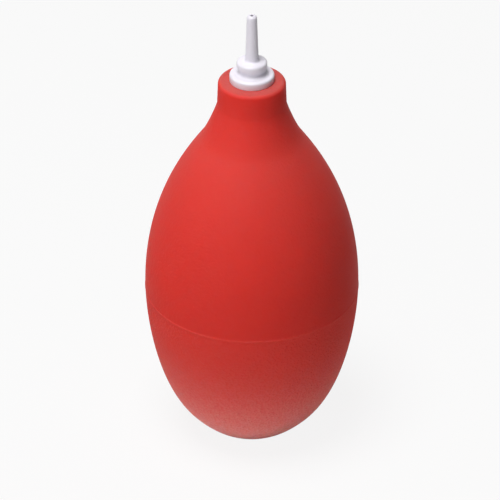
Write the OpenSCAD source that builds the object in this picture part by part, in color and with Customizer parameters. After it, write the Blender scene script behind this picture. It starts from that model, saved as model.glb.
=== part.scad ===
// Dust blower bulb: a soft squeeze bulb with a push-in nozzle head and two disc valves.
// Air enters through the valve in the foot and leaves through the nozzle.
// Millimetres. The axis of the bulb is Z, and its foot stands on Z = 0.

/* [Bulb] */
// Outside diameter at the belly, the widest ring
belly_d = 46; // [42:0.5:54]
// Height of the belly above the foot
belly_z = 36.2; // [32:0.1:40]
// Height from the belly up to the shoulder, where the crown turns hollow
crown_h = 35.9; // [32:0.1:42]
// Height from the shoulder up to the neck
flare_h = 8.55; // [7:0.05:11]
// Outside diameter at the shoulder
shoulder_d = 22; // [20:0.1:26]
// Slope of the wall at the shoulder, from upright
shoulder_slope = 35.5; // [30:0.5:42]
// Slope of the wall where it meets the neck, from upright
flare_slope = 12; // [6:1:24]
// Outside diameter at the hip, where the belly turns under towards the foot
hip_d = 29.6; // [26:0.1:33]
// Height of the hip above the foot
hip_z = 5.9; // [4.8:0.1:8]
// Slope of the wall at the hip, from level
hip_slope = 50.5; // [44:0.5:56]
// Slope of the wall where it meets the foot, from level
foot_slope = 15; // [8:1:22]
// Thickness of the bulb wall
bulb_wall = 2.2; // [1.6:0.1:3]
// Thickness of the rubber that the inlet valve clamps
floor_web = 2.8; // [2:0.1:3.6]
// Width of the foot ring outside the valve pocket
foot_ring_w = 2; // [1.5:0.1:3]

/* [Curves of the bulb] */
// Reach of the foot's slope towards the hip
foot_reach = 1.7; // [1:0.1:3]
// Reach of the hip's slope towards the foot
hip_reach_down = 4.1; // [3:0.1:5]
// Reach of the hip's slope towards the belly
hip_reach_up = 9.5; // [7:0.1:12]
// Reach of the belly's upright tangent down to the hip
belly_reach_down = 8.2; // [6:0.1:11]
// Reach of the belly's upright tangent up the crown
belly_reach_up = 18.6; // [14:0.1:22]
// Reach of the shoulder's slope down the crown
shoulder_reach = 7.3; // [6:0.1:11]
// Reach of the shoulder's slope up the flare
flare_reach = 2.3; // [1.5:0.1:3.5]
// Reach of the neck's slope down the flare
neck_reach = 1.4; // [0.8:0.1:2.6]

/* [Mould line] */
// Height of the fine ridge left by the mould
ridge_h = 0.07; // [0.05:0.01:0.3]
// Width of that ridge
ridge_w = 0.35; // [0.3:0.05:1]
// Drop of the ridge below the belly
ridge_drop = 0.5; // [0:0.1:1.5]

/* [Neck] */
// Height of the neck
neck_h = 5.55; // [4.4:0.05:8]
// Thickness of the rubber around the plug
neck_wall = 3.55; // [2.6:0.05:4.5]
// Draft of the neck, from its foot to its top
neck_draft = 0.2; // [0:0.05:0.5]
// Rounding of the neck's top edge
neck_round = 0.9; // [0.4:0.05:1.6]

/* [Neck plug] */
// Diameter of the socket that takes the nozzle
socket_d = 5; // [4.4:0.1:6]
// Wall of the plug around the socket
plug_wall = 1.2; // [0.8:0.1:1.6]
// Radial gap between the plug's stem and the neck
stem_fit = 0.05; // [0.01:0.01:0.1]
// Thickness of the flange
flange_t = 1.7; // [1.2:0.1:2.4]
// Overhang of the flange beyond the stem
flange_overhang = 1; // [0.7:0.1:1.6]
// Rounding of the flange's top edge
flange_round = 0.4; // [0.2:0.05:0.6]
// Grip of the barb under the neck
barb_grip = 0.5; // [0.3:0.05:0.8]
// Length of the barb
barb_len = 4; // [3:0.1:6]
// Straight land at the barb's top
barb_land = 0.5; // [0.3:0.1:0.8]
// Taper of the barb inwards from the stem
barb_lead = 0.6; // [0.3:0.05:0.8]
// Gap between the barb's hook and the neck's ledge
barb_gap = 0.1; // [0.05:0.05:0.3]
// Room around the barb inside the bulb
barb_room = 0.6; // [0.4:0.1:1]

/* [Outlet valve] */
// Diameter of the air hole in the valve seat
seat_hole_d = 3; // [2.4:0.1:3.4]
// Least thickness of the valve seat
seat_t = 1.5; // [1:0.1:2.5]
// Thickness of the valve disc
outlet_disc_t = 0.7; // [0.5:0.05:1]
// Lift of the valve disc
outlet_lift = 0.8; // [0.5:0.05:1.2]

/* [Nozzle] */
// Length of the spigot in the plug
spigot_len = 5.5; // [4:0.1:7]
// Radial gap between the spigot and its socket
spigot_fit = 0.05; // [0.01:0.01:0.1]
// Wall of the spigot
spigot_wall = 0.95; // [0.7:0.05:1.2]
// Width of the air slots across the spigot's end
slot_w = 1; // [0.6:0.1:1.4]
// Depth of those slots
slot_h = 0.8; // [0.4:0.1:1.5]
// Height of the waist under the collar's lip
waist_h = 1.4; // [1:0.1:2]
// Overhang of the waist beyond the socket
waist_overhang = 0.35; // [0.2:0.05:0.6]
// Height of the collar's lip
lip_h = 1.55; // [1:0.05:2.2]
// Overhang of the lip beyond the waist
lip_overhang = 0.35; // [0.2:0.05:0.6]
// Rounding of the lip's edges
lip_round = 0.45; // [0.2:0.05:0.6]
// Length of the tapered tip
tip_len = 10.7; // [8:0.1:16]
// Diameter of the tip at its root
tip_root_d = 2.84; // [2.4:0.02:3.4]
// Diameter of the tip at its end
tip_end_d = 2.1; // [1.8:0.02:2.4]
// Fillet at the root of the tip
tip_fillet = 0.45; // [0.2:0.05:0.7]
// Rounding of the tip's end
tip_round = 0.6; // [0.3:0.05:0.7]
// Diameter of the outlet hole
outlet_d = 0.7; // [0.5:0.05:1]
// Wall of the tip at its root
tip_wall = 0.65; // [0.5:0.05:0.8]

/* [Inlet valve] */
// Diameter of the valve disc
inlet_disc_d = 6; // [5.4:0.1:7]
// Thickness of the valve disc
inlet_disc_t = 0.8; // [0.5:0.05:1.2]
// Lift of the valve disc
inlet_lift = 1; // [0.6:0.05:1.5]
// Depth of the valve's outer face above the foot
valve_recess = 0.4; // [0.2:0.1:0.8]
// Thickness of the seat plate
seat_plate_t = 1.6; // [1.2:0.1:2.2]
// Number of air holes in the seat plate
air_holes = 4; // [3:1:5]
// Diameter of each air hole
air_hole_d = 1.4; // [1:0.1:1.6]
// Diameter of the circle that the air holes lie on
air_hole_pcd = 3.4; // [3:0.1:3.8]
// Wall of the valve's barrel
barrel_wall = 0.9; // [0.7:0.1:1.4]
// Radial gap between the barrel and the rubber
barrel_fit = 0.05; // [0.01:0.01:0.1]
// Overhang of the valve's flange beyond the barrel
valve_flange_overhang = 1.3; // [1:0.1:2]
// Thickness of the valve's flange
valve_flange_t = 1; // [0.7:0.1:1.5]
// Rounding of the flange's outer edge
valve_edge = 0.3; // [0.1:0.05:0.5]
// Gap around the valve's flange in its pocket
pocket_gap = 0.2; // [0.1:0.05:0.4]
// Grip of the snap bead over the rubber
bead_grip = 0.5; // [0.3:0.05:0.8]
// Height of the snap bead
bead_h = 1; // [0.7:0.1:1.5]
// Gap between the snap bead and the rubber
bead_gap = 0.1; // [0.05:0.05:0.3]
// Height of the cage's ring
cage_ring_h = 1.9; // [1.2:0.1:2.5]
// Wall of the cage's ring
cage_wall = 1.1; // [0.8:0.1:1.4]
// Radial gap between the cage and the barrel
cage_fit = 0.02; // [0.01:0.01:0.05]
// Width of the cage's bars
bar_w = 1; // [0.8:0.1:1.4]
// Drop of the bars below the ring, so air passes the lifted disc
bar_drop = 0.8; // [0.5:0.1:1.2]

/* [Valve discs] */
// Radial room around each valve disc
disc_room = 0.3; // [0.2:0.05:0.5]
// Gap left over a fully lifted disc
stop_gap = 0.1; // [0.05:0.05:0.2]
// Bevel of each disc's edges
disc_bevel = 0.15; // [0.05:0.05:0.2]

/* [Hidden] */
$fn = 96;
// Straight steps along each curve of the bulb, and along each small rounding
curve_steps = 12;
round_steps = 4;
// Length by which a cut runs past the face that it opens
past = 1;

// Outlet valve and plug, from the socket outwards
socket_r = socket_d / 2;
stem_r = socket_r + plug_wall;
flange_r = stem_r + flange_overhang;
barb_r = stem_r + barb_grip;
neck_bore_r = stem_r + stem_fit;
ledge_r = barb_r + barb_room;
neck_r = neck_bore_r + neck_wall;
outlet_disc_r = socket_r - disc_room;

// Inlet valve, from its disc outwards to the foot
inlet_disc_r = inlet_disc_d / 2;
chamber_r = inlet_disc_r + disc_room;
barrel_r = chamber_r + barrel_wall;
bead_r = barrel_r + bead_grip;
valve_flange_r = barrel_r + valve_flange_overhang;
pocket_r = valve_flange_r + pocket_gap;
foot_r = pocket_r + foot_ring_w;
cage_r = chamber_r - cage_fit;

// Heights of the inlet valve
pocket_z = valve_recess + valve_flange_t;
floor_z = pocket_z + floor_web;
bead_z = floor_z + bead_gap;
inlet_seat_z = valve_recess + seat_plate_t;
bar_z = inlet_seat_z + inlet_disc_t + inlet_lift + stop_gap;
cage_ring_z = bar_z + bar_drop;
cage_top_z = cage_ring_z + cage_ring_h;
barrel_top_z = max(cage_top_z, bead_z + bead_h);

// Heights of the bulb
hip_r = hip_d / 2;
belly_r = belly_d / 2;
shoulder_r = shoulder_d / 2;
shoulder_z = belly_z + crown_h;
neck_z = shoulder_z + flare_h;
neck_top_z = neck_z + neck_h;

// Heights of the plug and the nozzle
flange_top_z = neck_top_z + flange_t;
spigot_end_z = flange_top_z - spigot_len;
outlet_seat_z = spigot_end_z - stop_gap - outlet_lift - outlet_disc_t;
hook_z = neck_z - barb_gap;
stem_end_z = min(hook_z - barb_len, outlet_seat_z - seat_t);
lip_z = flange_top_z + waist_h;
collar_top_z = lip_z + lip_h;
tip_end_z = collar_top_z + tip_len;

// Radii of the nozzle
spigot_r = socket_r - spigot_fit;
spigot_bore_r = spigot_r - spigot_wall;
waist_r = socket_r + waist_overhang;
lip_r = waist_r + lip_overhang;
tip_root_r = tip_root_d / 2;
tip_end_r = tip_end_d / 2;
outlet_r = outlet_d / 2;

// Point on a cubic curve, at t from 0 to 1
function curve_point(c, t) =
    pow(1 - t, 3) * c[0] + 3 * t * pow(1 - t, 2) * c[1] + 3 * t * t * (1 - t) * c[2] + pow(t, 3) * c[3];

// Unit direction along a cubic curve
function curve_dir(c, t) =
    let (d = pow(1 - t, 2) * (c[1] - c[0]) + 2 * t * (1 - t) * (c[2] - c[1]) + t * t * (c[3] - c[2]))
    d / norm(d);

// Points along a rising cubic curve, set in from its outer side by a depth
function curve(c, inset = 0) = [
    for (i = [0:curve_steps])
    let (t = i / curve_steps, d = curve_dir(c, t))
    curve_point(c, t) - inset * [d.y, -d.x]
];

// Points along a circular arc
function arc(centre, r, from, to) = [
    for (i = [0:round_steps])
    let (a = from + (to - from) * i / round_steps)
    centre + r * [cos(a), sin(a)]
];

// Direction that leans inwards from upright by a slope
function leaning(slope) = [-sin(slope), cos(slope)];

// Direction that rises outwards from level by a slope
function rising(slope) = [cos(slope), sin(slope)];

// Curves of the bulb's outside, each rising to the next
foot_curve = [
    [foot_r, 0],
    [foot_r, 0] + foot_reach * rising(foot_slope),
    [hip_r, hip_z] - hip_reach_down * rising(hip_slope),
    [hip_r, hip_z]
];
hip_curve = [
    [hip_r, hip_z],
    [hip_r, hip_z] + hip_reach_up * rising(hip_slope),
    [belly_r, belly_z - belly_reach_down],
    [belly_r, belly_z]
];
crown_curve = [
    [belly_r, belly_z],
    [belly_r, belly_z + belly_reach_up],
    [shoulder_r, shoulder_z] - shoulder_reach * leaning(shoulder_slope),
    [shoulder_r, shoulder_z]
];
flare_curve = [
    [shoulder_r, shoulder_z],
    [shoulder_r, shoulder_z] + flare_reach * leaning(shoulder_slope),
    [neck_r, neck_z] - neck_reach * leaning(flare_slope),
    [neck_r, neck_z]
];

// Curve of the inside from the shoulder up to the ledge that the plug's barb hooks under
inner_shoulder = curve(crown_curve, bulb_wall)[curve_steps];
inner_flare_curve = [
    inner_shoulder,
    inner_shoulder + flare_reach * leaning(shoulder_slope),
    [ledge_r, neck_z - neck_reach],
    [ledge_r, neck_z]
];

// Outside of the bulb, solid
module bulb_outside() {
    rotate_extrude()
        polygon(concat(
            [[0, 0]],
            curve(foot_curve),
            curve(hip_curve),
            curve(crown_curve),
            curve(flare_curve),
            arc([neck_r - neck_draft - neck_round, neck_top_z - neck_round], neck_round, 0, 90),
            [[0, neck_top_z]]
        ));
}

// Fine ridge around the bulb, just below its belly
module mould_ridge() {
    translate([0, 0, belly_z - ridge_drop - ridge_w / 2])
        cylinder(h = ridge_w, r = belly_r + ridge_h);
}

// Air space in the bulb, above its floor and below the ledge
module bulb_cavity() {
    rotate_extrude()
        difference() {
            polygon(concat(
                [[0, 0]],
                curve(foot_curve, bulb_wall),
                curve(hip_curve, bulb_wall),
                curve(crown_curve, bulb_wall),
                curve(inner_flare_curve),
                [[0, neck_z]]
            ));
            square([belly_r, floor_z]);
        }
}

// Red rubber squeeze bulb with its neck, its foot and the holes for the plug and the inlet valve
module bulb() {
    color("firebrick")
        difference() {
            union() {
                bulb_outside();
                mould_ridge();
            }
            bulb_cavity();
            translate([0, 0, neck_z - past])
                cylinder(h = neck_h + 2 * past, r = neck_bore_r);
            translate([0, 0, -past])
                cylinder(h = floor_z + 2 * past, r = barrel_r + barrel_fit);
            translate([0, 0, -past])
                cylinder(h = pocket_z + past, r = pocket_r);
        }
}

// White flanged plug in the neck, with a barbed stem, a nozzle socket and the outlet valve's seat
module neck_plug() {
    color("white")
        rotate_extrude()
            polygon(concat(
                [
                    [seat_hole_d / 2, stem_end_z],
                    [stem_r - barb_lead, stem_end_z],
                    [barb_r, hook_z - barb_land],
                    [barb_r, hook_z],
                    [stem_r, hook_z],
                    [stem_r, neck_top_z],
                    [flange_r, neck_top_z]
                ],
                arc([flange_r - flange_round, flange_top_z - flange_round], flange_round, 0, 90),
                [
                    [socket_r, flange_top_z],
                    [socket_r, outlet_seat_z],
                    [seat_hole_d / 2, outlet_seat_z]
                ]
            ));
}

// White nozzle: slotted spigot, waist, lipped collar and tapered tip with its outlet
module nozzle() {
    end_round = min(tip_round, tip_end_r - outlet_r);
    color("whitesmoke")
        difference() {
            rotate_extrude()
                polygon(concat(
                    [
                        [spigot_bore_r, spigot_end_z],
                        [spigot_r, spigot_end_z],
                        [spigot_r, flange_top_z],
                        [waist_r, flange_top_z],
                        [waist_r, lip_z]
                    ],
                    arc([lip_r - lip_round, lip_z + lip_round], lip_round, -60, 0),
                    arc([lip_r - lip_round, collar_top_z - lip_round], lip_round, 0, 90),
                    arc([tip_root_r + tip_fillet, collar_top_z + tip_fillet], tip_fillet, 270, 180),
                    arc([tip_end_r - end_round, tip_end_z - end_round], end_round, 0, 90),
                    [
                        [outlet_r, tip_end_z],
                        [tip_root_r - tip_wall, lip_z],
                        [spigot_bore_r, flange_top_z]
                    ]
                ));
            for (turn = [0, 90])
                rotate(turn)
                    translate([-spigot_r - past, -slot_w / 2, spigot_end_z - past])
                        cube([2 * (spigot_r + past), slot_w, slot_h + past]);
        }
}

// Flat soft disc with bevelled edges, standing on a seat
module valve_disc(r, t, seat_z) {
    rotate_extrude()
        polygon([
            [0, seat_z],
            [r - disc_bevel, seat_z],
            [r, seat_z + disc_bevel],
            [r, seat_z + t - disc_bevel],
            [r - disc_bevel, seat_z + t],
            [0, seat_z + t]
        ]);
}

// Disc that lets air out through the nozzle
module outlet_valve_disc() {
    color("bisque")
        valve_disc(outlet_disc_r, outlet_disc_t, outlet_seat_z);
}

// White flanged bush in the foot, with the inlet valve's seat, its air holes and a snap bead
module inlet_valve_body() {
    color("white")
        difference() {
            rotate_extrude()
                polygon(concat(
                    [[0, valve_recess]],
                    arc([valve_flange_r - valve_edge, valve_recess + valve_edge], valve_edge, -90, 0),
                    [
                        [valve_flange_r, pocket_z],
                        [barrel_r, pocket_z],
                        [barrel_r, bead_z],
                        [bead_r, bead_z],
                        [barrel_r, bead_z + bead_h],
                        [barrel_r, barrel_top_z],
                        [chamber_r, barrel_top_z],
                        [chamber_r, inlet_seat_z],
                        [0, inlet_seat_z]
                    ]
                ));
            for (i = [0:air_holes - 1])
                rotate(i * 360 / air_holes)
                    translate([air_hole_pcd / 2, 0, valve_recess - past])
                        cylinder(h = seat_plate_t + 2 * past, r = air_hole_d / 2);
        }
}

// Disc that lets air in through the foot
module inlet_valve_disc() {
    color("bisque")
        valve_disc(inlet_disc_r, inlet_disc_t, inlet_seat_z);
}

// White ring with crossed bars that keeps the inlet disc in its barrel
module inlet_valve_cage() {
    color("whitesmoke") {
        difference() {
            translate([0, 0, cage_ring_z])
                cylinder(h = barrel_top_z - cage_ring_z, r = cage_r);
            translate([0, 0, cage_ring_z - past])
                cylinder(h = barrel_top_z - cage_ring_z + 2 * past, r = cage_r - cage_wall);
        }
        intersection() {
            for (turn = [45, 135])
                rotate(turn)
                    translate([-cage_r, -bar_w / 2, bar_z])
                        cube([2 * cage_r, bar_w, 2 * bar_drop]);
            translate([0, 0, bar_z])
                cylinder(h = 2 * bar_drop, r = cage_r - cage_wall / 2);
        }
    }
}

bulb();
neck_plug();
nozzle();
outlet_valve_disc();
inlet_valve_body();
inlet_valve_disc();
inlet_valve_cage();
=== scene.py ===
import math

import bmesh
import bpy
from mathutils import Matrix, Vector


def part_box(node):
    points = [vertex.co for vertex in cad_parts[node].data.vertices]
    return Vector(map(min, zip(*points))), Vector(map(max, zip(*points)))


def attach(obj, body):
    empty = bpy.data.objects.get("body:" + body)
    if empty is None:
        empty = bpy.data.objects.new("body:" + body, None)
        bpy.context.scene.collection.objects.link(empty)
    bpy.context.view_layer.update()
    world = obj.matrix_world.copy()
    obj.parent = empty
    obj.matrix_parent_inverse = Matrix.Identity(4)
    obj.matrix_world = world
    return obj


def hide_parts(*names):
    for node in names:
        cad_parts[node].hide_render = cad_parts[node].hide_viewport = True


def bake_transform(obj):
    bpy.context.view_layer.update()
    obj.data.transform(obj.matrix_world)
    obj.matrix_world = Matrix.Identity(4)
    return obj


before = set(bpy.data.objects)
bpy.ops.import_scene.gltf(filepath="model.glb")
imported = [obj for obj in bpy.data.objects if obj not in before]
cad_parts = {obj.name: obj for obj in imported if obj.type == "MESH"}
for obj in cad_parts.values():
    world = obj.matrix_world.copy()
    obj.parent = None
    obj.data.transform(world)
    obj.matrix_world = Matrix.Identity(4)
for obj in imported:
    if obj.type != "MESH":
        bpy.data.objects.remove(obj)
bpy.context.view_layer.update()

# Dust blower bulb: a red rubber squeeze bulb with a white plug, nozzle and inlet valve.
# Lengths are in metres, written in millimetres times MM.
MM = 0.001

# Sizes that the frame gives
NECK_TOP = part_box("bulb")[1].z
FLANGE_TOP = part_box("neck_plug")[1].z
FLANGE_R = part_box("neck_plug")[1].x
STEM_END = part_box("neck_plug")[0].z
SEAT_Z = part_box("outlet_valve_disc")[0].z
TIP_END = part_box("nozzle")[1].z
SPIGOT_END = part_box("nozzle")[0].z
LIP_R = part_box("nozzle")[1].x
VALVE_FLANGE_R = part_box("inlet_valve_body")[1].x

# Bulb: radii, heights, slopes and reaches of its curves, as in the part's source
FOOT_R = 7.7 * MM
FOOT_SLOPE = math.radians(15)
HIP_R = 14.8 * MM
HIP_Z = 5.9 * MM
HIP_SLOPE = math.radians(50.5)
BELLY_R = 23 * MM
BELLY_Z = 36.2 * MM
SHOULDER_R = 11 * MM
SHOULDER_Z = 72.1 * MM
SHOULDER_SLOPE = math.radians(35.5)
NECK_R = 7.3 * MM
NECK_Z = 80.65 * MM
NECK_DRAFT = 0.2 * MM
NECK_ROUND = 0.9 * MM
FLARE_SLOPE = math.radians(12)
FOOT_REACH = 1.7 * MM
HIP_REACH_DOWN = 4.1 * MM
HIP_REACH_UP = 9.5 * MM
BELLY_REACH_DOWN = 8.2 * MM
BELLY_REACH_UP = 18.6 * MM
SHOULDER_REACH = 7.3 * MM
FLARE_REACH = 2.3 * MM
NECK_REACH = 1.4 * MM
WALL = 2.2 * MM
FLOOR_Z = 4.2 * MM
LEDGE_R = 4.8 * MM
NECK_BORE_R = 3.75 * MM
VALVE_HOLE_R = 4.25 * MM
POCKET_GAP = 0.2 * MM
POCKET_R = VALVE_FLANGE_R + POCKET_GAP
POCKET_Z = 1.4 * MM
EDGE_ROUND = 0.3 * MM

# Mould line just under the belly's widest ring
RIDGE_DROP = 0.5 * MM
RIDGE_Z = BELLY_Z - RIDGE_DROP
RIDGE_H = 0.07 * MM
RIDGE_W = 0.35 * MM

# Plug and nozzle; the cove is the fillet at the foot of the nozzle's waist
STEM_R = 3.7 * MM
BARB_R = 4.2 * MM
BARB_LAND = 0.5 * MM
BARB_LEAD = 0.6 * MM
HOOK_GAP = 0.1 * MM
HOOK_Z = NECK_Z - HOOK_GAP
SOCKET_R = 2.5 * MM
SEAT_HOLE_R = 1.5 * MM
SPIGOT_R = 2.45 * MM
SPIGOT_BORE_R = 1.5 * MM
SLOT_W = 1.0 * MM
SLOT_H = 0.8 * MM
WAIST_R = 2.85 * MM
COVE = 0.75 * MM
COVE_EDGE = 0.05 * MM
WAIST_H = 1.4 * MM
LIP_Z = FLANGE_TOP + WAIST_H
COLLAR_H = 1.55 * MM
COLLAR_TOP = LIP_Z + COLLAR_H
TIP_ROOT_R = 1.42 * MM
TIP_END_R = 1.05 * MM
TIP_BORE_R = 0.77 * MM
OUTLET_R = 0.35 * MM

# Edge roundings of the plug and nozzle
STEM_ROUND = 0.2 * MM
BARB_ROUND = 0.1 * MM
FLANGE_FOOT_ROUND = 0.15 * MM
FLANGE_RIM_ROUND = 0.45 * MM
SOCKET_ROUND = 0.15 * MM
SEAT_ROUND = 0.1 * MM
SPIGOT_BORE_ROUND = 0.1 * MM
SPIGOT_ROUND = 0.2 * MM
WAIST_ROUND = 0.15 * MM
LIP_ROUND = 0.3 * MM
COLLAR_ROUND = 0.5 * MM
TIP_ROOT_ROUND = 0.5 * MM
TIP_END_ROUND = 0.55 * MM
OUTLET_ROUND = 0.06 * MM

# Steps of the meshes
ROUND_SEGMENTS = 192
CURVE_STEPS = 40
ARC_STEPS = 8
SHARP_ANGLE = math.radians(40)


def curve_points(c, inset=0.0):
    """Points along a rising cubic curve, set in from its outer side by a depth."""
    points = []
    for i in range(CURVE_STEPS + 1):
        t = i / CURVE_STEPS
        s = 1 - t
        point = s**3 * c[0] + 3 * s * s * t * c[1] + 3 * s * t * t * c[2] + t**3 * c[3]
        along = s * s * (c[1] - c[0]) + 2 * s * t * (c[2] - c[1]) + t * t * (c[3] - c[2])
        along.normalize()
        points.append(point - inset * Vector((along.y, -along.x)))
    return points


def leaning(slope):
    """Direction that leans inwards from upright by a slope."""
    return Vector((-math.sin(slope), math.cos(slope)))


def rising(slope):
    """Direction that rises outwards from level by a slope."""
    return Vector((math.cos(slope), math.sin(slope)))


def rounded(corners):
    """Outline through corners (radius, height, rounding), with an arc at each rounded corner."""
    points = []
    count = len(corners)
    for i, (r, z, rounding) in enumerate(corners):
        here = Vector((r, z))
        if rounding == 0:
            points.append(here)
            continue
        before = (Vector(corners[i - 1][:2]) - here).normalized()
        after = (Vector(corners[(i + 1) % count][:2]) - here).normalized()
        half = before.angle(after) / 2
        centre = here + (before + after).normalized() * (rounding / math.sin(half))
        first = here + before * (rounding / math.tan(half)) - centre
        last = here + after * (rounding / math.tan(half)) - centre
        turn = first.angle_signed(last)
        for k in range(ARC_STEPS + 1):
            a = -turn * k / ARC_STEPS
            c, s = math.cos(a), math.sin(a)
            turned = Vector((c * first.x - s * first.y, s * first.x + c * first.y))
            points.append(centre + turned)
    return points


def lathe(name, outline):
    """Closed mesh made by turning a closed outline of (radius, height) points about Z."""
    bm = bmesh.new()
    rings = []
    for k in range(ROUND_SEGMENTS):
        a = 2 * math.pi * k / ROUND_SEGMENTS
        c, s = math.cos(a), math.sin(a)
        rings.append([bm.verts.new((p.x * c, p.x * s, p.y)) for p in outline])
    count = len(outline)
    for k in range(ROUND_SEGMENTS):
        here, there = rings[k], rings[(k + 1) % ROUND_SEGMENTS]
        for i in range(count):
            j = (i + 1) % count
            bm.faces.new((here[i], there[i], there[j], here[j]))
    bmesh.ops.recalc_face_normals(bm, faces=bm.faces)
    mesh = bpy.data.meshes.new(name)
    bm.to_mesh(mesh)
    bm.free()
    piece = bpy.data.objects.new(name, mesh)
    bpy.context.scene.collection.objects.link(piece)
    return piece


def shade(mesh):
    """Smooth shading with sharp edges where the faces turn by more than SHARP_ANGLE."""
    bm = bmesh.new()
    bm.from_mesh(mesh)
    for face in bm.faces:
        face.smooth = True
    for edge in bm.edges:
        edge.smooth = len(edge.link_faces) == 2 and edge.calc_face_angle() < SHARP_ANGLE
    bm.to_mesh(mesh)
    bm.free()


def bulb_outline():
    """Closed outline of the bulb's wall: up the outside, down the neck's bore and the inside."""
    foot = Vector((FOOT_R, 0))
    hip = Vector((HIP_R, HIP_Z))
    belly = Vector((BELLY_R, BELLY_Z))
    shoulder = Vector((SHOULDER_R, SHOULDER_Z))
    neck = Vector((NECK_R, NECK_Z))
    up = Vector((0, 1))
    foot_curve = [
        foot,
        foot + FOOT_REACH * rising(FOOT_SLOPE),
        hip - HIP_REACH_DOWN * rising(HIP_SLOPE),
        hip,
    ]
    hip_curve = [
        hip,
        hip + HIP_REACH_UP * rising(HIP_SLOPE),
        belly - BELLY_REACH_DOWN * up,
        belly,
    ]
    crown_curve = [
        belly,
        belly + BELLY_REACH_UP * up,
        shoulder - SHOULDER_REACH * leaning(SHOULDER_SLOPE),
        shoulder,
    ]
    flare_curve = [
        shoulder,
        shoulder + FLARE_REACH * leaning(SHOULDER_SLOPE),
        neck - NECK_REACH * leaning(FLARE_SLOPE),
        neck,
    ]
    inner_shoulder = curve_points(crown_curve, WALL)[-1]
    inner_flare = [
        inner_shoulder,
        inner_shoulder + FLARE_REACH * leaning(SHOULDER_SLOPE),
        Vector((LEDGE_R, NECK_Z - NECK_REACH)),
        Vector((LEDGE_R, NECK_Z)),
    ]
    ridge = [
        Vector((BELLY_R + RIDGE_H * (1 - u * u), RIDGE_Z + u * RIDGE_W / 2))
        for u in (-1, -0.5, 0, 0.5, 1)
    ]
    below_ridge = curve_points(foot_curve)[:-1]
    below_ridge += [p for p in curve_points(hip_curve) if p.y < RIDGE_Z - RIDGE_W]
    above_ridge = curve_points(crown_curve) + curve_points(flare_curve)[1:-1]
    neck_end = rounded([
        (NECK_R, NECK_Z, 0),
        (NECK_R - NECK_DRAFT, NECK_TOP, NECK_ROUND),
        (NECK_BORE_R, NECK_TOP, EDGE_ROUND),
        (NECK_BORE_R, NECK_Z, 0),
        (LEDGE_R, NECK_Z, 0),
    ])
    inside = curve_points(inner_flare)[-2::-1]
    inside += curve_points(crown_curve, WALL)[-2::-1]
    inside += curve_points(hip_curve, WALL)[-2::-1]
    inside += [p for p in curve_points(foot_curve, WALL)[-2::-1] if p.y > FLOOR_Z]
    base = rounded([
        (inside[-1].x, FLOOR_Z, 0),
        (VALVE_HOLE_R, FLOOR_Z, 0),
        (VALVE_HOLE_R, POCKET_Z, 0),
        (POCKET_R, POCKET_Z, 0),
        (POCKET_R, 0, EDGE_ROUND),
        (FOOT_R, 0, 0),
    ])[:-1]
    return below_ridge + ridge + above_ridge + neck_end + inside + base


def make_bulb():
    """Hollow rubber bulb with its neck, foot and mould line."""
    bulb = lathe("squeeze_bulb", bulb_outline())
    shade(bulb.data)
    # Each point's place at rest, so that the material stays put when the bulb gives way
    rest = bulb.data.attributes.new("rest_place", "FLOAT_VECTOR", "POINT")
    for vertex in bulb.data.vertices:
        rest.data[vertex.index].vector = vertex.co
    return bulb


def make_plug():
    """Flanged plug with a barbed stem, a socket for the nozzle and a valve seat."""
    plug = lathe("neck_bush", rounded([
        (SEAT_HOLE_R, STEM_END, STEM_ROUND),
        (STEM_R - BARB_LEAD, STEM_END, STEM_ROUND),
        (BARB_R, HOOK_Z - BARB_LAND, BARB_ROUND),
        (BARB_R, HOOK_Z, BARB_ROUND),
        (STEM_R, HOOK_Z, 0),
        (STEM_R, NECK_TOP, 0),
        (FLANGE_R, NECK_TOP, FLANGE_FOOT_ROUND),
        (FLANGE_R, FLANGE_TOP, FLANGE_RIM_ROUND),
        (SOCKET_R, FLANGE_TOP, SOCKET_ROUND),
        (SOCKET_R, SEAT_Z, 0),
        (SEAT_HOLE_R, SEAT_Z, SEAT_ROUND),
    ]))
    shade(plug.data)
    return plug


def cut_slot(piece, angle):
    """Cuts an air slot across the end of the nozzle's spigot."""
    bm = bmesh.new()
    bmesh.ops.create_cube(bm, size=1)
    cutter_mesh = bpy.data.meshes.new("slot")
    bm.to_mesh(cutter_mesh)
    bm.free()
    cutter = bpy.data.objects.new("slot", cutter_mesh)
    cutter.scale = (4 * SPIGOT_R, SLOT_W, 2 * SLOT_H)
    cutter.location = (0, 0, SPIGOT_END)
    cutter.rotation_euler = (0, 0, angle)
    bpy.context.scene.collection.objects.link(cutter)
    cut = piece.modifiers.new("slot", "BOOLEAN")
    cut.object = cutter
    cut.operation = "DIFFERENCE"
    cut.solver = "EXACT"
    plain_mesh = piece.data
    depsgraph = bpy.context.evaluated_depsgraph_get()
    piece.data = bpy.data.meshes.new_from_object(piece.evaluated_get(depsgraph))
    piece.modifiers.clear()
    bpy.data.objects.remove(cutter)
    bpy.data.meshes.remove(cutter_mesh)
    bpy.data.meshes.remove(plain_mesh)


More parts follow.
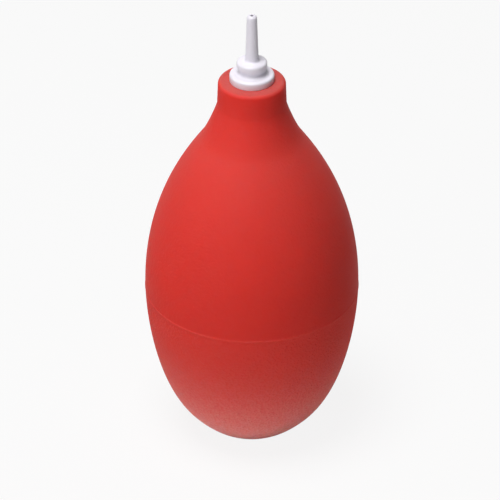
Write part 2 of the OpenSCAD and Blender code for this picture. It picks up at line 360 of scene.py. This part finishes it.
def make_nozzle():
    """Bored tapered nozzle with a lipped collar, a waist and a slotted spigot."""
    nozzle = lathe("tapered_nozzle", rounded([
        (SPIGOT_BORE_R, SPIGOT_END, SPIGOT_BORE_ROUND),
        (SPIGOT_R, SPIGOT_END, SPIGOT_ROUND),
        (SPIGOT_R, FLANGE_TOP, 0),
        (WAIST_R + COVE, FLANGE_TOP, 0),
        (WAIST_R + COVE, FLANGE_TOP + COVE_EDGE, 0),
        (WAIST_R, FLANGE_TOP + COVE_EDGE, COVE),
        (WAIST_R, LIP_Z, WAIST_ROUND),
        (LIP_R, LIP_Z, LIP_ROUND),
        (LIP_R, COLLAR_TOP, COLLAR_ROUND),
        (TIP_ROOT_R, COLLAR_TOP, TIP_ROOT_ROUND),
        (TIP_END_R, TIP_END, TIP_END_ROUND),
        (OUTLET_R, TIP_END, OUTLET_ROUND),
        (TIP_BORE_R, LIP_Z, 0),
        (SPIGOT_BORE_R, FLANGE_TOP, 0),
    ]))
    cut_slot(nozzle, 0)
    cut_slot(nozzle, math.pi / 2)
    shade(nozzle.data)
    return nozzle


bulb = make_bulb()
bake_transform(bulb)
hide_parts("bulb")

plug = make_plug()
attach(plug, "head")
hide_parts("neck_plug")

nozzle = make_nozzle()
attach(nozzle, "nozzle")
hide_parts("nozzle")


class Look:
    """A node material under construction."""

    # Sockets of the Mix node that carry colours
    COLOUR_A, COLOUR_B, COLOUR_RESULT = 6, 7, 2

    def __init__(self, name):
        self.material = bpy.data.materials.new(name)
        self.material.use_nodes = True
        self.tree = self.material.node_tree
        self.shader = self.tree.nodes["Principled BSDF"]

    def join(self, value, socket):
        """Sets a socket to a constant or links an output to it."""
        if isinstance(value, bpy.types.NodeSocket):
            self.tree.links.new(value, socket)
        else:
            socket.default_value = value

    def node(self, kind, inputs, **settings):
        """New node with its settings and inputs."""
        node = self.tree.nodes.new(kind)
        for name, value in settings.items():
            setattr(node, name, value)
        for name, value in inputs.items():
            self.join(value, node.inputs[name])
        return node

    def noise(self, place, size, detail):
        """Noise with spots of a size, about 0 to 1."""
        inputs = {"Vector": place, "Scale": 1 / size, "Detail": detail}
        return self.node("ShaderNodeTexNoise", inputs).outputs["Fac"]

    def spread(self, value, low, high, to_low=0.0, to_high=1.0):
        """Maps a range of a value onto another range."""
        inputs = {
            "Value": value,
            "From Min": low,
            "From Max": high,
            "To Min": to_low,
            "To Max": to_high,
        }
        return self.node("ShaderNodeMapRange", inputs).outputs["Result"]

    def times(self, a, b):
        return self.math("MULTIPLY", a, b)

    def plus(self, a, b):
        return self.math("ADD", a, b)

    def math(self, operation, a, b):
        node = self.tree.nodes.new("ShaderNodeMath")
        node.operation = operation
        self.join(a, node.inputs[0])
        self.join(b, node.inputs[1])
        return node.outputs[0]

    def mix(self, share, first, second):
        """Colour between two colours."""
        node = self.tree.nodes.new("ShaderNodeMix")
        node.data_type = "RGBA"
        self.join(share, node.inputs[0])
        self.join(first, node.inputs[self.COLOUR_A])
        self.join(second, node.inputs[self.COLOUR_B])
        return node.outputs[self.COLOUR_RESULT]

    def bump(self, height, depth, under=None):
        """Bump whose height from 0 to 1 stands for a depth in metres."""
        inputs = {"Height": height, "Distance": depth, "Strength": 1.0}
        if under is not None:
            inputs["Normal"] = under
        return self.node("ShaderNodeBump", inputs).outputs["Normal"]

    def finish(self, **inputs):
        """Sets the shader's inputs, named with _ for a space."""
        for name, value in inputs.items():
            self.join(value, self.shader.inputs[name.replace("_", " ")])
        return self.material


# Rubber: colours, shares of them, sizes and depths of its texture
DARK_RED = (0.765, 0.0385, 0.028, 1)
LIGHT_RED = (0.84, 0.0445, 0.032, 1)
FROSTED_RED = (0.92, 0.060, 0.046, 1)
# Pale pink, part real frosted finish and part painted light from the white table below
FROST_AND_TABLE_LIGHT = (0.98, 0.33, 0.298, 1)
# Pale grey of a painted sheen from the overhead lamp on what faces up
PAINTED_SHEEN = (0.45, 0.45, 0.44, 1)
# Dark red of painted shade on the flat end of the neck, which faces up
PAINTED_SHADE_RED = (0.30, 0.035, 0.025, 1)
FROSTED_RED_SHARE = 0.25
# How much frost and painted table light there is at the mould line, and how it grows towards the
# foot
FROST_AND_TABLE_LIGHT_AT_LINE = 0.03
FROST_AND_TABLE_LIGHT_GAIN = 1.2
FROST_AND_TABLE_LIGHT_POWER = 2.3
RIDGE_PALENESS = 0.04
# Share and spread of the painted sheen on what faces up
PAINTED_SHEEN_SHARE = 0.17
PAINTED_SHEEN_POWER = 2.2
# Share of the painted shade, and how nearly upright a face must point to get it
PAINTED_SHADE_SHARE = 0.25
PAINTED_SHADE_FROM = 0.8
CLOUD_SIZE = 12 * MM
PEEL_SIZE = 1.2 * MM
PEEL_DEPTH = 0.08 * MM
GRAIN_SIZE = 0.5 * MM
GRAIN_DEPTH = 0.3 * MM
SMOOTH_GRAIN = 0.3
FROST_ROUGHNESS = 0.08


def rubber():
    """Satin red rubber, frosted below the mould line and paler towards the foot with painted
    light from the white table, with a painted sheen on what faces up and painted shade on the
    neck's flat end."""
    look = Look("red_rubber")
    place = look.node("ShaderNodeAttribute", {}, attribute_name="rest_place").outputs["Vector"]
    height = look.node("ShaderNodeSeparateXYZ", {"Vector": place}).outputs["Z"]
    facing = look.node("ShaderNodeNewGeometry", {}).outputs["Normal"]
    upward = look.node("ShaderNodeSeparateXYZ", {"Vector": facing}).outputs["Z"]
    cloud = look.noise(place, CLOUD_SIZE, 3)
    peel = look.noise(place, PEEL_SIZE, 2)
    grain = look.noise(place, GRAIN_SIZE, 2)

    # Red, a little lighter where it is frosted
    frosted = look.spread(height, RIDGE_Z + RIDGE_W / 2, RIDGE_Z - RIDGE_W / 2)
    red = look.mix(cloud, DARK_RED, LIGHT_RED)
    red = look.mix(look.times(frosted, FROSTED_RED_SHARE), red, FROSTED_RED)

    # Frost and painted light from the white table below, growing towards the foot, and a paler
    # trace on the mould line
    low = look.math("POWER", look.spread(height, RIDGE_Z, 0.0), FROST_AND_TABLE_LIGHT_POWER)
    frost_and_table_light = look.times(frosted, look.plus(FROST_AND_TABLE_LIGHT_AT_LINE, look.times(low, FROST_AND_TABLE_LIGHT_GAIN)))
    frost_and_table_light = look.times(frost_and_table_light, look.spread(grain, 0.25, 0.75, 0.6, 1.4))
    ridge = look.times(
        look.spread(height, RIDGE_Z - RIDGE_W, RIDGE_Z),
        look.spread(height, RIDGE_Z + RIDGE_W, RIDGE_Z),
    )
    frost_and_table_light = look.plus(frost_and_table_light, look.times(ridge, RIDGE_PALENESS))

    # Painted sheen of the overhead lamp on what faces up, and painted shade on the flat end of
    # the neck
    painted_sheen = look.math("POWER", look.spread(upward, 0, 1), PAINTED_SHEEN_POWER)
    painted_shade = look.spread(upward, PAINTED_SHADE_FROM, 1.0)
    colour = look.mix(frost_and_table_light, red, FROST_AND_TABLE_LIGHT)
    colour = look.mix(look.times(painted_sheen, PAINTED_SHEEN_SHARE), colour, PAINTED_SHEEN)
    colour = look.mix(look.times(painted_shade, PAINTED_SHADE_SHARE), colour, PAINTED_SHADE_RED)

    roughness = look.spread(cloud, 0.3, 0.7, 0.60, 0.66)
    surface = look.bump(peel, PEEL_DEPTH)
    grain_share = look.spread(frosted, 0, 1, SMOOTH_GRAIN, 1.0)
    surface = look.bump(look.times(grain, grain_share), GRAIN_DEPTH, surface)
    return look.finish(
        Base_Color=colour,
        Roughness=look.plus(roughness, look.times(frosted, FROST_ROUGHNESS)),
        Normal=surface,
        Specular_IOR_Level=0.15,
        Subsurface_Weight=0.7,
        Subsurface_Radius=(1.0, 0.1, 0.05),
        Subsurface_Scale=2.0 * MM,
    )


# Plastic and silicone: the two shades that each one varies between
DEEP_WHITE = (0.90, 0.86, 0.96, 1)
PALE_WHITE = (0.935, 0.90, 0.985, 1)
DEEP_BEIGE = (0.76, 0.66, 0.52, 1)
PALE_BEIGE = (0.84, 0.75, 0.62, 1)


def plastic():
    """Satin white moulded plastic, slightly translucent."""
    look = Look("white_plastic")
    place = look.node("ShaderNodeTexCoord", {}).outputs["Object"]
    cloud = look.noise(place, 3 * MM, 3)
    peel = look.noise(place, 0.5 * MM, 2)
    return look.finish(
        Base_Color=look.mix(cloud, DEEP_WHITE, PALE_WHITE),
        Roughness=look.spread(cloud, 0.3, 0.7, 0.36, 0.44),
        Normal=look.bump(peel, 0.004 * MM),
        Subsurface_Weight=0.2,
        Subsurface_Radius=(1.0, 0.95, 1.0),
        Subsurface_Scale=1.2 * MM,
    )


def silicone():
    """Soft matt beige silicone."""
    look = Look("valve_silicone")
    place = look.node("ShaderNodeTexCoord", {}).outputs["Object"]
    cloud = look.noise(place, 1.5 * MM, 3)
    grain = look.noise(place, 0.2 * MM, 2)
    return look.finish(
        Base_Color=look.mix(cloud, DEEP_BEIGE, PALE_BEIGE),
        Roughness=look.spread(grain, 0.3, 0.7, 0.55, 0.65),
        Normal=look.bump(grain, 0.004 * MM),
        Subsurface_Weight=0.2,
        Subsurface_Radius=(1.0, 0.8, 0.6),
        Subsurface_Scale=0.4 * MM,
    )


def dress(piece, material):
    """Gives a piece one material."""
    piece.data.materials.clear()
    piece.data.materials.append(material)


white = plastic()
beige = silicone()
dress(bulb, rubber())
dress(plug, white)
dress(nozzle, white)
for name in ("inlet_valve_body", "inlet_valve_cage"):
    dress(bpy.data.objects[name], white)
for name in ("outlet_valve_disc", "inlet_valve_disc"):
    dress(bpy.data.objects[name], beige)

# Camera at the photograph's angle, found from the bulb's outline and its mould line
IMAGE_SIZE = 500
FOCAL_PIXELS = 3710.4
CAMERA_DISTANCE = 669.9 * MM
CAMERA_HEIGHT = 475.15 * MM
CAMERA_ASIDE = -0.4 * MM
CAMERA_PITCH = math.radians(32.764)
SENSOR = 36.0

# Lamps: place, size and power; both aim at the bulb's middle
AIM = Vector((0, 0, 45 * MM))
KEY_PLACE = (-0.14, -0.15, 0.92)
KEY_SIZE = 0.45
KEY_POWER = 7.25
FILL_PLACE = (-0.549, -0.702, 0.17)
FILL_SIZE = 0.3
FILL_POWER = 1.6

# Floor: half its width, its grey as light falls on it, and how far it is white to look at
FLOOR_HALF = 4.0
FLOOR_GREY = (0.8, 0.8, 0.8, 1)
FLOOR_ROUGHNESS = 0.9
FLOOR_WHITE_SHARE = 0.88


def add_camera():
    """Camera in front of the bulb that looks down on it."""
    data = bpy.data.cameras.new("photo_camera")
    data.sensor_width = SENSOR
    data.lens = SENSOR * FOCAL_PIXELS / IMAGE_SIZE
    camera = bpy.data.objects.new("photo_camera", data)
    camera.location = (CAMERA_ASIDE, -CAMERA_DISTANCE, CAMERA_HEIGHT)
    camera.rotation_euler = (math.pi / 2 - CAMERA_PITCH, 0, 0)
    bpy.context.scene.collection.objects.link(camera)
    bpy.context.scene.camera = camera


def add_area_light(name, place, size, power):
    """Round soft light aimed at the bulb's middle."""
    data = bpy.data.lights.new(name, "AREA")
    data.shape = "DISK"
    data.size = size
    data.energy = power
    lamp = bpy.data.objects.new(name, data)
    lamp.location = place
    lamp.rotation_euler = (AIM - Vector(place)).to_track_quat("-Z", "Y").to_euler()
    bpy.context.scene.collection.objects.link(lamp)


def seen_directly(tree):
    """Output that is 1 for what the camera sees directly, in gloss or through glass."""
    path = tree.nodes.new("ShaderNodeLightPath")
    either = tree.nodes.new("ShaderNodeMath")
    either.operation = "MAXIMUM"
    tree.links.new(path.outputs["Is Camera Ray"], either.inputs[0])
    gloss = tree.nodes.new("ShaderNodeMath")
    gloss.operation = "MAXIMUM"
    tree.links.new(path.outputs["Is Glossy Ray"], gloss.inputs[0])
    tree.links.new(path.outputs["Is Transmission Ray"], gloss.inputs[1])
    tree.links.new(gloss.outputs[0], either.inputs[1])
    return either.outputs[0]


def add_floor():
    """White table top that keeps a faint shadow."""
    mesh = bpy.data.meshes.new("floor")
    signs = ((-1, -1), (1, -1), (1, 1), (-1, 1))
    corners = [(x * FLOOR_HALF, y * FLOOR_HALF, 0) for x, y in signs]
    mesh.from_pydata(corners, [], [(0, 1, 2, 3)])
    floor = bpy.data.objects.new("floor", mesh)
    bpy.context.scene.collection.objects.link(floor)
    material = bpy.data.materials.new("white_floor")
    material.use_nodes = True
    tree = material.node_tree
    shader = tree.nodes["Principled BSDF"]
    shader.inputs["Base Color"].default_value = FLOOR_GREY
    shader.inputs["Roughness"].default_value = FLOOR_ROUGHNESS
    shader.inputs["Specular IOR Level"].default_value = 0.0
    glow = tree.nodes.new("ShaderNodeEmission")
    glow.inputs["Strength"].default_value = 1.0
    blend = tree.nodes.new("ShaderNodeMixShader")
    share = tree.nodes.new("ShaderNodeMath")
    share.operation = "MULTIPLY"
    share.inputs[1].default_value = FLOOR_WHITE_SHARE
    tree.links.new(seen_directly(tree), share.inputs[0])
    tree.links.new(share.outputs[0], blend.inputs[0])
    tree.links.new(shader.outputs[0], blend.inputs[1])
    tree.links.new(glow.outputs[0], blend.inputs[2])
    tree.links.new(blend.outputs[0], tree.nodes["Material Output"].inputs["Surface"])
    mesh.materials.append(material)


def add_world():
    """White surround for the camera and in gloss, which sheds no diffuse light."""
    world = bpy.data.worlds.new("studio")
    world.use_nodes = True
    bpy.context.scene.world = world
    tree = world.node_tree
    background = tree.nodes["Background"]
    background.inputs["Color"].default_value = (1, 1, 1, 1)
    tree.links.new(seen_directly(tree), background.inputs["Strength"])


add_camera()
add_floor()
add_world()
add_area_light("key", KEY_PLACE, KEY_SIZE, KEY_POWER)
add_area_light("fill", FILL_PLACE, FILL_SIZE, FILL_POWER)
bpy.context.scene.view_settings.view_transform = "Standard"
